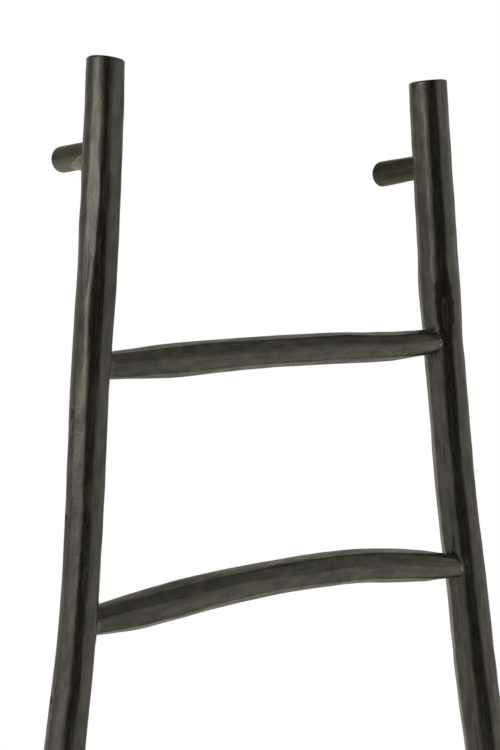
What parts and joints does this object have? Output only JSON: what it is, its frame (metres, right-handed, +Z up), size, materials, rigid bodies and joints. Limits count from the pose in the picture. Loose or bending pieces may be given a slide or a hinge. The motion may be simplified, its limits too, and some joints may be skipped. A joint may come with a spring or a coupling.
{
  "type": "decorative ladder",
  "caption": "Leaning decorative ladder of hand-hewn, dark-stained poles: splayed bent rails, curved tenoned rungs for throws, and wall pegs near the top.",
  "frame": {"origin": "on the floor, at the middle of the ladder's footprint seen from above", "axes": "+Z up, +Y towards the wall that the ladder leans on, +X to the right seen from the front"},
  "size_m": [0.7693, 0.2168, 1.75],
  "materials": {
    "stained_wood": "hand-hewn, near-black stain, satin",
    "pin_wood": "dowel, near-black stain, dull end grain"
  },
  "bodies": {
    "root": {"left_rail": "stained_wood", "right_rail": "stained_wood", "bottom_rung": "stained_wood", "fourth_rung": "stained_wood", "third_rung": "stained_wood", "second_rung": "stained_wood", "top_rung": "stained_wood", "left_wall_peg": "stained_wood", "right_wall_peg": "stained_wood", "rung_lock_pins": "pin_wood"}
  },
  "joints": []
}
